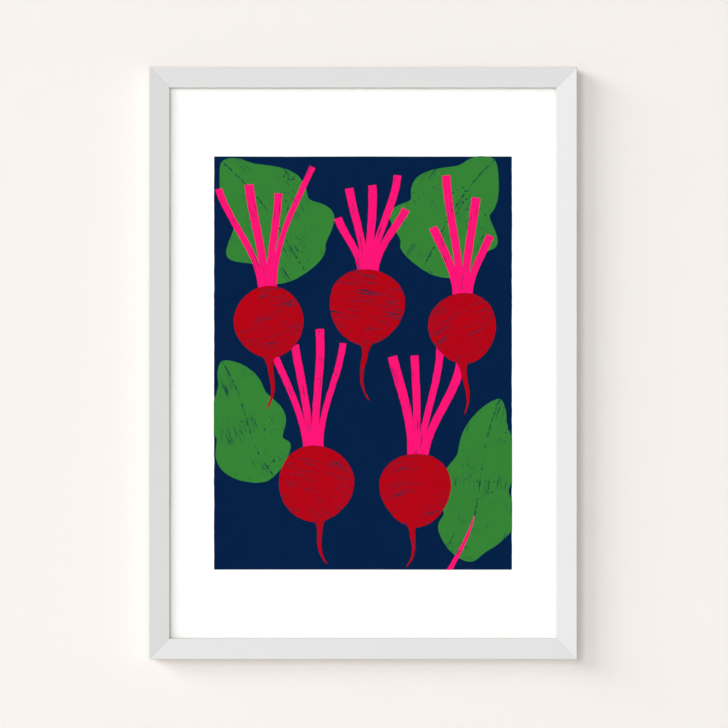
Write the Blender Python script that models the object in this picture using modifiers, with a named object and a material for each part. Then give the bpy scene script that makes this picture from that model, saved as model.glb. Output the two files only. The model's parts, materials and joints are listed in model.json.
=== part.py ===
"""A framed art print for a wall: four mitred rails, a glazed and backed pack behind them, turn
buttons that lock the pack in, and two ring hangers and two bumpers on the back.

Metres, +Z up. The front of the picture faces -Y and left and right are as seen from the front.
The wall is the plane y = 0. The origin is on the wall, midway between the two wall hooks,
where the rings bear on them.
"""

import math

import bmesh
import bpy
from mathutils import Matrix, Vector

MM = 0.001

# The sheet, which sets the frame's size
SHEET_WIDTH = 420 * MM
SHEET_HEIGHT = 594 * MM
SHEET_PLAY = 1.5 * MM  # from the sheet's edge to the wall of the rebate

# The moulding
RAIL_WIDTH = 22 * MM
LIP_OVERHANG = 6.5 * MM  # how far the lip reaches over the rebate
LIP_THICKNESS = 4 * MM  # at the sight edge
FACE_DROP = 3 * MM  # the face slopes down this much from the outer edge to the sight edge
FACE_ROUNDING = 0.9 * MM
BACK_ROUNDING = 0.5 * MM

# The pack, from the glazing to the backing board
GLAZING_THICKNESS = 2 * MM
PRINT_THICKNESS = 0.4 * MM
TAPE_THICKNESS = 0.2 * MM
TAPE_SIZE = (30 * MM, 18 * MM)
TAPE_SPACING = 240 * MM
TAPE_DROP = 4 * MM  # from the print's top edge
MOUNT_BOARD_THICKNESS = 1.5 * MM
FILLER_THICKNESS = 5 * MM
BACKING_THICKNESS = 2.5 * MM

# Fastenings
TOUCH_GAP = 0.3 * MM  # between pieces that touch
BUTTON_THICKNESS = 1 * MM
BUTTON_ROOT_RADIUS = 5.5 * MM
BUTTON_TIP_RADIUS = 3.5 * MM
BUTTON_REACH = 20 * MM  # from the screw to the end of the tab
SCREW_SHANK_RADIUS = 1.2 * MM
SCREW_HEAD_RADIUS = 3 * MM
SCREW_HEAD_HEIGHT = 1.6 * MM
SCREW_LENGTH = 10 * MM  # under the head
SCREW_PLAY = 0.3 * MM  # round the shank
BUTTONS_ON_SHORT_RAIL = 2
BUTTONS_ON_LONG_RAIL = 3
SHORT_RAIL_INSET = 107 * MM  # from the frame's side to the first button
HANGER_CLEARANCE = 14 * MM  # between a ring and the sweep of the button above it

WEDGE_LEG = 4.5 * MM
WEDGE_THICKNESS = 0.5 * MM
WEDGE_HEIGHT = 10 * MM
WEDGE_HALF_ANGLE = math.radians(65)  # from the mitre line to a leg
WEDGE_SPACING = 5 * MM  # between the two wedges, along the mitre
WEDGE_SINK = 0.3 * MM  # below the back of the rails
WEDGE_PLAY = 0.3 * MM

# The hangers and bumpers
STRAP_THICKNESS = 0.7 * MM
STRAP_WIDTH = 9 * MM
STRAP_TAIL = 25 * MM  # from the ring's axis to the end of the strap
STRAP_SCREW_INSET = 6.5 * MM  # from the end of the strap
RING_WIRE_RADIUS = 1 * MM
RING_PLAY = 0.3 * MM  # round the wire, inside the strap's loop
RING_SIDE_PLAY = 0.3 * MM  # from the strap to where the wire bends
RING_SIDE = 5 * MM  # from the axis to where the round end begins
RING_CORNER = 1.6 * MM
HOOK_DROP = 150 * MM  # from the frame's top edge to the wall hooks
WALL_GAP = 0.2 * MM  # from the strap's loop to the wall
BUMPER_RADIUS = 5.5 * MM
BUMPER_ROUNDING = 1.2 * MM
BUMPER_FROM_SIDE = 34 * MM

# What follows from the sizes above
OPENING_WIDTH = SHEET_WIDTH + 2 * SHEET_PLAY
OPENING_HEIGHT = SHEET_HEIGHT + 2 * SHEET_PLAY
SIGHT_WIDTH = OPENING_WIDTH - 2 * LIP_OVERHANG
SIGHT_HEIGHT = OPENING_HEIGHT - 2 * LIP_OVERHANG
OUTER_WIDTH = SIGHT_WIDTH + 2 * RAIL_WIDTH
OUTER_HEIGHT = SIGHT_HEIGHT + 2 * RAIL_WIDTH
BACK_WIDTH = RAIL_WIDTH - LIP_OVERHANG  # of a rail's back, whose middle is the screws' line
LOOP_RADIUS = RING_WIRE_RADIUS + RING_PLAY + STRAP_THICKNESS
STAND_OFF = TOUCH_GAP + 2 * LOOP_RADIUS + WALL_GAP  # from the wall to the back of the rails
RING_HALF_WIDTH = STRAP_WIDTH / 2 + RING_SIDE_PLAY + RING_CORNER  # to the middle of the wire
HOOK_REACH = RING_SIDE + RING_HALF_WIDTH - RING_WIRE_RADIUS  # from the ring's axis to the hook
LONG_RAIL_INSET = HOOK_DROP - 2 * RING_WIRE_RADIUS - HANGER_CLEARANCE - BUTTON_REACH
CENTRE_Z = HOOK_DROP - OUTER_HEIGHT / 2

PACK = (
    ("backing_board", BACKING_THICKNESS),
    ("filler_board", FILLER_THICKNESS),
    ("mount_board", MOUNT_BOARD_THICKNESS),
    ("hinge_tape", TAPE_THICKNESS),
    ("art_print", PRINT_THICKNESS),
    ("glazing_sheet", GLAZING_THICKNESS),
)
REBATE_DEPTH = sum(thickness + TOUCH_GAP for _, thickness in PACK)

# Turns an outline drawn in XY, and its thickness along Z
ACROSS_BACK = Matrix.Rotation(math.radians(90), 4, "X")  # outline in XZ
ON_EDGE = Matrix(((0, 0, 1, 0), (1, 0, 0, 0), (0, 1, 0, 0), (0, 0, 0, 1)))  # outline in YZ
HEAD_TO_WALL = Matrix.Rotation(math.radians(-90), 4, "X")  # a screw's +Z to +Y

SIDES = {"bottom": 0, "left": 90, "top": 180, "right": -90}  # turn about Y, in degrees


def clear_scene():
    for obj in list(bpy.data.objects):
        bpy.data.objects.remove(obj)


def add_collection(name, hidden=False):
    collection = bpy.data.collections.new(name)
    bpy.context.scene.collection.children.link(collection)
    collection.hide_render = hidden
    return collection


def add_material(name, colour, roughness, metallic=0.0):
    material = bpy.data.materials.new(name)
    material.use_nodes = True
    shader = material.node_tree.nodes["Principled BSDF"]
    shader.inputs["Base Color"].default_value = (*colour, 1)
    shader.inputs["Roughness"].default_value = roughness
    shader.inputs["Metallic"].default_value = metallic
    material.diffuse_color = (*colour, 1)
    return material


def arc(centre, radius, start, end, steps):
    """Points on an arc, angles in degrees, both ends included."""
    angles = (math.radians(start + (end - start) * i / steps) for i in range(steps + 1))
    return [
        (centre[0] + radius * math.cos(angle), centre[1] + radius * math.sin(angle))
        for angle in angles
    ]


def rounded(corners, steps=4):
    """A closed outline through (x, y, radius) corners, each rounded by its own radius."""
    outline = []
    for i, (x, y, radius) in enumerate(corners):
        corner = Vector((x, y))
        if radius == 0:
            outline.append((x, y))
            continue
        before = (Vector(corners[i - 1][:2]) - corner).normalized()
        after = (Vector(corners[(i + 1) % len(corners)][:2]) - corner).normalized()
        half_angle = before.angle(after) / 2
        centre = corner + (before + after).normalized() * radius / math.sin(half_angle)
        start = corner + before * radius / math.tan(half_angle) - centre
        end = corner + after * radius / math.tan(half_angle) - centre
        sweep = math.atan2(start.x * end.y - start.y * end.x, start.dot(end))
        for step in range(steps + 1):
            turn = Matrix.Rotation(sweep * step / steps, 2)
            outline.append(centre + turn @ start)
    return outline


def mesh_of(obj):
    """The object's evaluated mesh as new mesh data, with doubled points made one."""
    graph = bpy.context.evaluated_depsgraph_get()
    mesh = bpy.data.meshes.new_from_object(obj.evaluated_get(graph))
    mesh.transform(obj.matrix_world)
    bm = bmesh.new()
    bm.from_mesh(mesh)
    bmesh.ops.remove_doubles(bm, verts=bm.verts, dist=0.01 * MM)
    bm.to_mesh(mesh)
    bm.free()
    bpy.data.objects.remove(obj)
    return mesh


def outline_mesh(name, outlines, thickness, turn=None):
    """A flat plate with this outer outline, and any further outlines as holes in it."""
    curve = bpy.data.curves.new(name, "CURVE")
    curve.dimensions = "2D"
    curve.fill_mode = "BOTH"
    curve.extrude = thickness / 2
    for outline in outlines:
        spline = curve.splines.new("POLY")
        spline.points.add(len(outline) - 1)
        for point, (x, y) in zip(spline.points, outline):
            point.co = (x, y, 0, 1)
        spline.use_cyclic_u = True
    obj = bpy.data.objects.new(name, curve)
    bpy.context.scene.collection.objects.link(obj)
    mesh = mesh_of(obj)
    if turn:
        mesh.transform(turn)
    return mesh


def box_mesh(name, size):
    bm = bmesh.new()
    bmesh.ops.create_cube(bm, size=1)
    bmesh.ops.scale(bm, vec=size, verts=bm.verts)
    mesh = bpy.data.meshes.new(name)
    bm.to_mesh(mesh)
    bm.free()
    return mesh


def turned_mesh(name, profile, steps):
    """A profile of (radius, z) points, top to bottom, turned about Z."""
    mesh = bpy.data.meshes.new(name)
    points = [(radius, 0, z) for radius, z in profile]
    mesh.from_pydata(points, [(i, i + 1) for i in range(len(points) - 1)], [])
    obj = bpy.data.objects.new(name, mesh)
    bpy.context.scene.collection.objects.link(obj)
    screw = obj.modifiers.new("turn", "SCREW")
    screw.steps = screw.render_steps = steps
    screw.use_merge_vertices = True
    screw.merge_threshold = 0.01 * MM
    return mesh_of(obj)


def place(name, mesh, material, location, collection, parent=None):
    obj = bpy.data.objects.new(name, mesh)
    collection.objects.link(obj)
    obj.location = location
    obj.parent = parent
    if material and not mesh.materials:
        mesh.materials.append(material)
    return obj


def smooth_rounds(mesh):
    mesh.shade_smooth()
    mesh.set_sharp_from_angle(angle=math.radians(35))


def cut(obj, cutters):
    """Cuts everything in the collection out of the object."""
    boolean = obj.modifiers.new("cut", "BOOLEAN")
    boolean.operation = "DIFFERENCE"
    boolean.operand_type = "COLLECTION"
    boolean.collection = cutters


def add_helper(name, mesh, location, cutters, parent=None):
    helper = place(name, mesh, None, location, cutters, parent)
    helper.hide_render = True
    helper.display_type = "WIRE"
    return helper


def pack_heights(layer):
    """(back, front) of a layer of the pack, as heights above the back of the rails."""
    back = 0.0
    for name, thickness in PACK:
        if name == layer:
            return back, back + thickness
        back += thickness + TOUCH_GAP
    raise KeyError(layer)


def pack_y(layer):
    """The middle of a layer of the pack, along Y."""
    return -STAND_OFF - sum(pack_heights(layer)) / 2


def rail_profile():
    """The moulding in section: from the outer edge inwards, and up from its back."""
    sight_height = REBATE_DEPTH + LIP_THICKNESS
    return rounded(
        [
            (0, 0, BACK_ROUNDING),
            (BACK_WIDTH, 0, 0),
            (BACK_WIDTH, REBATE_DEPTH, 0),
            (RAIL_WIDTH, REBATE_DEPTH, 0),
            (RAIL_WIDTH, sight_height, FACE_ROUNDING),
            (0, sight_height + FACE_DROP, FACE_ROUNDING),
        ]
    )


def rail_mesh(name, length, half_span):
    """The bottom rail of a frame centred on the origin: along X, its face to -Y."""
    mesh = outline_mesh(name, [rail_profile()], length)
    mesh.transform(Matrix(((0, 0, 1, 0), (0, -1, 0, 0), (1, 0, 0, -half_span), (0, 0, 0, 1))))
    bm = bmesh.new()
    bm.from_mesh(mesh)
    for end in (-1, 1):
        normal = Vector((end, 0, 1)).normalized()
        corner = Vector((end * length / 2, 0, -half_span))
        bmesh.ops.bisect_plane(
            bm,
            geom=[*bm.verts, *bm.edges, *bm.faces],
            dist=0.001 * MM,
            plane_co=corner - normal * TOUCH_GAP / 2,
            plane_no=normal,
            clear_outer=True,
        )
        open_edges = [edge for edge in bm.edges if edge.is_boundary]
        bmesh.ops.holes_fill(bm, edges=open_edges)
    bm.to_mesh(mesh)
    bm.free()
    smooth_rounds(mesh)
    return mesh


def button_mesh():
    """A turn button: a tab that tapers from the screw, at the origin, towards +Z."""
    tip = BUTTON_REACH - BUTTON_TIP_RADIUS
    lean = math.degrees(math.asin((BUTTON_ROOT_RADIUS - BUTTON_TIP_RADIUS) / tip))
    outline = arc((0, tip), BUTTON_TIP_RADIUS, lean, 180 - lean, 8)
    outline += arc((0, 0), BUTTON_ROOT_RADIUS, 180 - lean, 360 + lean, 12)
    hole = arc((0, 0), SCREW_SHANK_RADIUS + SCREW_PLAY, 0, 345, 11)
    return outline_mesh("turn_button", [outline, hole], BUTTON_THICKNESS, ACROSS_BACK)


def screw_mesh(steps=12):
    """A pan-head wood screw with a cross recess. Its head rests on z = 0 and looks up."""
    head, height, shank = SCREW_HEAD_RADIUS, SCREW_HEAD_HEIGHT, SCREW_SHANK_RADIUS
    point_length = 2.5 * shank
    profile = [
        (0, height),
        (0.6 * head, 0.88 * height),
        (head, 0.4 * height),
        (head, 0),
        (shank, 0),
        (shank, point_length - SCREW_LENGTH),
        (0, -SCREW_LENGTH),
    ]
    screw = bpy.data.objects.new("screw", turned_mesh("screw", profile, steps))
    bpy.context.scene.collection.objects.link(screw)
    recess = add_collection("recess", hidden=True)
    slot = (1.2 * head, 0.22 * head, 1.2 * height)
    for name, size in (("slot_a", slot), ("slot_b", (slot[1], slot[0], slot[2]))):
        add_helper(name, box_mesh(name, size), (0, 0, height), recess)
        cut_one = screw.modifiers.new(name, "BOOLEAN")
        cut_one.operation = "DIFFERENCE"
        cut_one.object = recess.objects[name]
    bpy.context.view_layer.update()
    mesh = mesh_of(screw)
    for helper in list(recess.objects):
        bpy.data.objects.remove(helper)
    bpy.data.collections.remove(recess)
    mesh.transform(HEAD_TO_WALL)
    smooth_rounds(mesh)
    return mesh


def wedge_mesh(name, height, play=0.0):
    """A V-shaped corner wedge, its apex towards +Z. With play, the slot that it sits in."""
    half = WEDGE_THICKNESS / 2 + play
    leg = WEDGE_LEG + play
    along = Vector((math.sin(WEDGE_HALF_ANGLE), -math.cos(WEDGE_HALF_ANGLE)))
    across = Vector((along.y, -along.x)) * -half
    apex = half / math.sin(WEDGE_HALF_ANGLE)
    right = [along * leg + across, along * leg - across]
    if right[0].y < right[1].y:
        right.reverse()
    outline = [(0, apex), *right, (0, -apex)]
    outline += [(-x, y) for x, y in reversed(right)]
    return outline_mesh(name, [outline], height, ACROSS_BACK)


def strap_mesh():
    """A strap folded round the ring's wire, on edge: the loop at the origin, the tail down."""
    layers = 2 * STRAP_THICKNESS
    meets = math.degrees(math.acos((layers - LOOP_RADIUS) / LOOP_RADIUS))
    outline = [(0, -STRAP_TAIL), *arc((LOOP_RADIUS, 0), LOOP_RADIUS, 180, -meets, 14)]
    outline += [(layers, -STRAP_TAIL)]
    eye = arc((LOOP_RADIUS, 0), RING_WIRE_RADIUS + RING_PLAY, 0, 330, 11)
    mesh = outline_mesh("hanger_strap", [outline, eye], STRAP_WIDTH, ON_EDGE)
    mesh.transform(Matrix.Translation((0, -LOOP_RADIUS, 0)))
    return mesh


def add_ring(name, location, material, collection):
    """A D-shaped wire ring, its straight bar on the joint's axis and its round end up."""
    corners = [(RING_HALF_WIDTH, RING_SIDE, 0), *(
        (x, y, 0) for x, y in arc((0, RING_SIDE), RING_HALF_WIDTH, 15, 180, 11)
    )]
    corners += [(-RING_HALF_WIDTH, 0, RING_CORNER), (RING_HALF_WIDTH, 0, RING_CORNER)]
    path = rounded(corners)
    curve = bpy.data.curves.new(name, "CURVE")
    curve.dimensions = "3D"
    curve.bevel_depth = RING_WIRE_RADIUS
    curve.bevel_resolution = 2
    spline = curve.splines.new("POLY")
    spline.points.add(len(path) - 1)
    for point, (x, z) in zip(spline.points, path):
        point.co = (x, 0, z, 1)
    spline.use_cyclic_u = True
    curve.materials.append(material)
    ring = bpy.data.objects.new(name, curve)
    collection.objects.link(ring)
    ring.location = location


def bumper_mesh():
    """A self-adhesive bumper with a flat top and a rounded edge, standing on z = 0."""
    height = STAND_OFF - TOUCH_GAP
    edge = arc((BUMPER_RADIUS - BUMPER_ROUNDING, height - BUMPER_ROUNDING), BUMPER_ROUNDING, 90, 0, 4)
    mesh = turned_mesh("wall_bumper", [(0, height), *edge, (BUMPER_RADIUS, 0), (0, 0)], 20)
    mesh.transform(HEAD_TO_WALL)
    smooth_rounds(mesh)
    return mesh


def button_offsets(count, reach):
    """Places along a rail, spaced evenly from -reach to +reach."""
    return [reach * (2 * i / (count - 1) - 1) for i in range(count)]


def button_names(side, count):
    """Names in order along the side's own X, which runs right on the bottom rail."""
    if side in ("bottom", "top"):
        names = ["left", "right"]
    else:
        names = ["lower", "middle", "upper"]
    order = names if side in ("bottom", "right") else names[::-1]
    return order if len(order) == count else [str(i + 1) for i in range(count)]


def add_side(side, turn, paint, steel, parts, rail_cutters, meshes):
    """One rail with its turn buttons and their screws, all hung from the side's own empty."""
    across = side in ("bottom", "top")
    length, span = (OUTER_WIDTH, OUTER_HEIGHT) if across else (OUTER_HEIGHT, OUTER_WIDTH)
    empty = bpy.data.objects.new(side + "_side", None)
    parts.objects.link(empty)
    empty.location = (0, -STAND_OFF, CENTRE_Z)
    empty.rotation_euler = (0, math.radians(turn), 0)
    name = side + "_rail"
    rail = place(name, rail_mesh(name, length, span / 2), paint, (0, 0, 0), parts, empty)
    count = BUTTONS_ON_SHORT_RAIL if across else BUTTONS_ON_LONG_RAIL
    reach = length / 2 - (SHORT_RAIL_INSET if across else LONG_RAIL_INSET)
    button_y = TOUCH_GAP + BUTTON_THICKNESS / 2
    head_y = TOUCH_GAP + BUTTON_THICKNESS + TOUCH_GAP
    z = (BACK_WIDTH - span) / 2
    for place_name, x in zip(button_names(side, count), button_offsets(count, reach)):
        label = f"{side}_{place_name}"
        place("turn_button_" + label, meshes["button"], steel, (x, button_y, z), parts, empty)
        place("turn_screw_" + label, meshes["screw"], steel, (x, head_y, z), parts, empty)
        add_helper("pilot_" + label, meshes["pilot"], (x, head_y, z), rail_cutters, empty)
    cut(rail, rail_cutters)


def add_corner_wedges(steel, parts, rail_cutters):
    """Two steel wedges across the back of each mitre, and the slots that they sit in."""
    first = (BACK_WIDTH * math.sqrt(2) - WEDGE_SPACING - WEDGE_LEG * math.cos(WEDGE_HALF_ANGLE)) / 2
    wedge = wedge_mesh("corner_wedge", WEDGE_HEIGHT)
    slot = wedge_mesh("wedge_slot", 2 * (WEDGE_SINK + WEDGE_HEIGHT + WEDGE_PLAY), WEDGE_PLAY)
    for right, column in ((-1, "left"), (1, "right")):
        for up, row in ((-1, "bottom"), (1, "top")):
            for which, distance in (("outer", first), ("inner", first + WEDGE_SPACING)):
                inset = distance / math.sqrt(2)
                location = (
                    right * (OUTER_WIDTH / 2 - inset),
                    -STAND_OFF,
                    CENTRE_Z + up * (OUTER_HEIGHT / 2 - inset),
                )
                turn = (0, math.atan2(right, up), 0)
                label = f"{row}_{column}_{which}"
                piece = place("corner_wedge_" + label, wedge, steel, location, parts)
                piece.location.y -= WEDGE_SINK + WEDGE_HEIGHT / 2
                piece.rotation_euler = turn
                add_helper("slot_" + label, slot, location, rail_cutters).rotation_euler = turn


def add_pack(parts):
    """The glazing, the print, its hinges and the boards, inside the rebate."""
    clear = add_material("clear_acrylic", (0.92, 0.95, 0.95), 0.05)
    white_board = add_material("white_board", (0.9, 0.9, 0.88), 0.8)
    paper = add_material("paper", (0.95, 0.95, 0.94), 0.75)
    tape = add_material("gummed_tape", (0.85, 0.8, 0.68), 0.8)
    foam = add_material("foam_board", (0.86, 0.86, 0.84), 0.7)
    hardboard = add_material("hardboard", (0.3, 0.17, 0.08), 0.7)
    sheets = {
        "glazing_sheet": (GLAZING_THICKNESS, clear),
        "art_print": (PRINT_THICKNESS, paper),
        "mount_board": (MOUNT_BOARD_THICKNESS, white_board),
        "filler_board": (FILLER_THICKNESS, foam),
        "backing_board": (BACKING_THICKNESS, hardboard),
    }
    for name, (thickness, material) in sheets.items():
        mesh = box_mesh(name, (SHEET_WIDTH, thickness, SHEET_HEIGHT))
        place(name, mesh, material, (0, pack_y(name), CENTRE_Z), parts)
    for right, name in ((-1, "left"), (1, "right")):
        mesh = box_mesh("hinge_tape", (TAPE_SIZE[0], TAPE_THICKNESS, TAPE_SIZE[1]))
        z = CENTRE_Z + SHEET_HEIGHT / 2 - TAPE_DROP - TAPE_SIZE[1] / 2
        place("hinge_tape_" + name, mesh, tape, (right * TAPE_SPACING / 2, pack_y("hinge_tape"), z), parts)


def add_hangers(steel, parts, rail_cutters, meshes):
    """A strap, its ring and its screw on each upright rail."""
    strap_drills = add_collection("strap_drills", hidden=True)
    strap = strap_mesh()
    axis_y = -STAND_OFF + TOUCH_GAP + LOOP_RADIUS
    head_y = -STAND_OFF + 2 * TOUCH_GAP + 2 * STRAP_THICKNESS
    screw_z = -HOOK_REACH - STRAP_TAIL + STRAP_SCREW_INSET
    for right, name in ((-1, "left"), (1, "right")):
        x = right * (OUTER_WIDTH - BACK_WIDTH) / 2
        strap_obj = place("hanger_strap_" + name, strap, steel, (x, axis_y, -HOOK_REACH), parts)
        cut(strap_obj, strap_drills)
        add_ring("hanger_ring_" + name, (x, axis_y, -HOOK_REACH), steel, parts)
        at_screw = (x, head_y, screw_z)
        place("hanger_screw_" + name, meshes["screw"], steel, at_screw, parts)
        add_helper("strap_drill_" + name, meshes["pilot"], at_screw, strap_drills)
        add_helper("hanger_pilot_" + name, meshes["pilot"], at_screw, rail_cutters)


def add_bumpers(parts):
    rubber = add_material("bumper_rubber", (0.8, 0.8, 0.78), 0.5)
    mesh = bumper_mesh()
    z = CENTRE_Z - (OUTER_HEIGHT - BACK_WIDTH) / 2
    for right, name in ((-1, "left"), (1, "right")):
        x = right * (OUTER_WIDTH / 2 - BUMPER_FROM_SIDE)
        place("wall_bumper_" + name, mesh, rubber, (x, TOUCH_GAP - STAND_OFF, z), parts)


def main():
    clear_scene()
    parts = add_collection("framed_print")
    rail_cutters = add_collection("rail_cutters", hidden=True)
    paint = add_material("painted_wood", (0.78, 0.79, 0.785), 0.45)
    steel = add_material("zinc_steel", (0.62, 0.62, 0.6), 0.35, 1.0)
    pilot_radius = SCREW_SHANK_RADIUS + SCREW_PLAY
    pilot_length = SCREW_LENGTH + SCREW_PLAY
    pilot = [(0, pilot_length / 2), (pilot_radius, pilot_length / 2)]
    pilot += [(pilot_radius, -pilot_length), (0, -pilot_length)]
    pilot_mesh = turned_mesh("pilot", pilot, 12)
    pilot_mesh.transform(HEAD_TO_WALL)
    meshes = {"button": button_mesh(), "screw": screw_mesh(), "pilot": pilot_mesh}
    for side, turn in SIDES.items():
        add_side(side, turn, paint, steel, parts, rail_cutters, meshes)
    add_corner_wedges(steel, parts, rail_cutters)
    add_pack(parts)
    add_hangers(steel, parts, rail_cutters, meshes)
    add_bumpers(parts)


main()
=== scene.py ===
import json
import math

import bmesh
import bpy
from mathutils import Matrix, Vector, noise

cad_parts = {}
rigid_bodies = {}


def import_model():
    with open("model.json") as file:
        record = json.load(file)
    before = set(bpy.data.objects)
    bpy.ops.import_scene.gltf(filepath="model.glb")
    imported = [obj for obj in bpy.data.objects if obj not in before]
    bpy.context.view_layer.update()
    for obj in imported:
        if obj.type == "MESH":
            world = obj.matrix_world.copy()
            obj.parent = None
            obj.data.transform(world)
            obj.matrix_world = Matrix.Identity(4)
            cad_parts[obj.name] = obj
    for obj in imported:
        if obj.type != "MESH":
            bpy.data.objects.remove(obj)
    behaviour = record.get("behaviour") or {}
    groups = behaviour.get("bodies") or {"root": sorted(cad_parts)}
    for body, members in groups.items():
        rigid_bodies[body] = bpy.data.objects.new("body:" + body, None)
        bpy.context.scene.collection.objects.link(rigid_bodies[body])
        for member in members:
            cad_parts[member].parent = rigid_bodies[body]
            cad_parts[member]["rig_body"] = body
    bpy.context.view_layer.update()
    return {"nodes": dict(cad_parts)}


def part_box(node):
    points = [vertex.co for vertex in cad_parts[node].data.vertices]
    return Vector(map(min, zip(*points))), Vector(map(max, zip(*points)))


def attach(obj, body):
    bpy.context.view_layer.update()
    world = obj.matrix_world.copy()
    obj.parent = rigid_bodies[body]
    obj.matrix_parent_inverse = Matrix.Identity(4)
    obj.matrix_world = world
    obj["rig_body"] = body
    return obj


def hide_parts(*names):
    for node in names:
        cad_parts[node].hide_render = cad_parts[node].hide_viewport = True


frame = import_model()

mm = 0.001
body = "frame"

# The frame's own lines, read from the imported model
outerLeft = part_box("left_rail")[0].x
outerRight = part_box("right_rail")[1].x
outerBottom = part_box("bottom_rail")[0].z
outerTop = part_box("top_rail")[1].z
frontY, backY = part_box("bottom_rail")[0].y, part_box("bottom_rail")[1].y
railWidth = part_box("bottom_rail")[1].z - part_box("bottom_rail")[0].z
middle = Vector(((outerLeft + outerRight) / 2, 0, (outerBottom + outerTop) / 2))
screwLine = sum(c.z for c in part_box("turn_screw_bottom_left")) / 2 - outerBottom
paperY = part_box("art_print")[0].y
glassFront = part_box("glazing_sheet")[0].y
sideTurns = {"bottom": 0, "left": 90, "top": 180, "right": -90}  # each rail's turn, in degrees


def node(tree, kind, at=(0, 0), **settings):
    made = tree.nodes.new(kind)
    made.location = at
    for name, value in settings.items():
        setattr(made, name, value)
    return made


def fill(made, **values):  # sets sockets by name, _ for a space
    for name, value in values.items():
        made.inputs[name.replace("_", " ")].default_value = value
    return made


def newGroup(name, inputs, outputs):
    tree = bpy.data.node_groups.new(name, "ShaderNodeTree")
    for label, kind, value in inputs:
        socket = tree.interface.new_socket(label, in_out="INPUT", socket_type=kind)
        if value is not None:
            socket.default_value = value
    for label, kind in outputs:
        tree.interface.new_socket(label, in_out="OUTPUT", socket_type=kind)
    return tree, node(tree, "NodeGroupInput", (-1200, 0)), node(tree, "NodeGroupOutput", (600, 0))


def useGroup(tree, group, at, **values):
    made = node(tree, "ShaderNodeGroup", at, node_tree=group)
    return fill(made, **values)


def newMaterial(name, colour, rough, metallic=0.0, **sockets):
    material = bpy.data.materials.new(name)
    material.use_nodes = True
    tree = material.node_tree
    shader = tree.nodes["Principled BSDF"]
    shader.inputs["Base Color"].default_value = (*colour, 1)
    shader.inputs["Roughness"].default_value = rough
    shader.inputs["Metallic"].default_value = metallic
    fill(shader, **sockets)
    return material, tree, shader


def mixColours(tree, at, factor, first, second):
    mix = node(tree, "ShaderNodeMix", at, data_type="RGBA")
    for socket, value in ((mix.inputs[0], factor), (mix.inputs[6], first), (mix.inputs[7], second)):
        if isinstance(value, bpy.types.NodeSocket):
            tree.links.new(value, socket)
        else:
            socket.default_value = (*value, 1) if isinstance(value, tuple) else value
    return mix.outputs[2]


def remap(tree, at, value, low, high, toLow=0.0, toHigh=1.0):
    made = node(tree, "ShaderNodeMapRange", at)
    tree.links.new(value, made.inputs["Value"])
    fill(made, From_Min=low, From_Max=high, To_Min=toLow, To_Max=toHigh)
    return made.outputs[0]


def calc(tree, at, operation, first, second):
    made = node(tree, "ShaderNodeMath", at, operation=operation)
    for socket, value in zip(made.inputs, (first, second)):
        if isinstance(value, bpy.types.NodeSocket):
            tree.links.new(value, socket)
        else:
            socket.default_value = value
    return made.outputs[0]


def addBump(tree, shader, height, strength, distance):
    bump = node(tree, "ShaderNodeBump", (-220, -360))
    fill(bump, Strength=strength, Distance=distance)
    tree.links.new(height, bump.inputs["Height"])
    tree.links.new(bump.outputs[0], shader.inputs["Normal"])


# Effects that several materials share
def makeSpeckle():  # clusters of small specks where an ink has not taken
    tree, given, out = newGroup(
        "speckle",
        [("Vector", "NodeSocketVector", None), ("Size", "NodeSocketFloat", 0.0024),
         ("Cover", "NodeSocketFloat", 0.5)],
        [("Mask", "NodeSocketFloat")],
    )
    scale = calc(tree, (-1000, 100), "DIVIDE", 1.0, given.outputs["Size"])
    specks = fill(node(tree, "ShaderNodeTexNoise", (-800, 200)), Detail=3.0, Roughness=0.6)
    patches = fill(node(tree, "ShaderNodeTexNoise", (-800, -100)), Scale=30.0, Detail=2.0)
    tree.links.new(scale, specks.inputs["Scale"])
    for made in (specks, patches):
        tree.links.new(given.outputs["Vector"], made.inputs["Vector"])
    fine = remap(tree, (-560, 200), specks.outputs[0], 0.60, 0.63)
    half = calc(tree, (-700, -300), "MULTIPLY", given.outputs["Cover"], 0.5)
    edge = calc(tree, (-560, -200), "SUBTRACT", 0.86, half)
    near = calc(tree, (-400, -100), "SUBTRACT", patches.outputs[0], edge)
    spread = remap(tree, (-220, -100), near, -0.03, 0.05)
    tree.links.new(calc(tree, (200, 0), "MULTIPLY", fine, spread), out.inputs["Mask"])
    return tree


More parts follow.
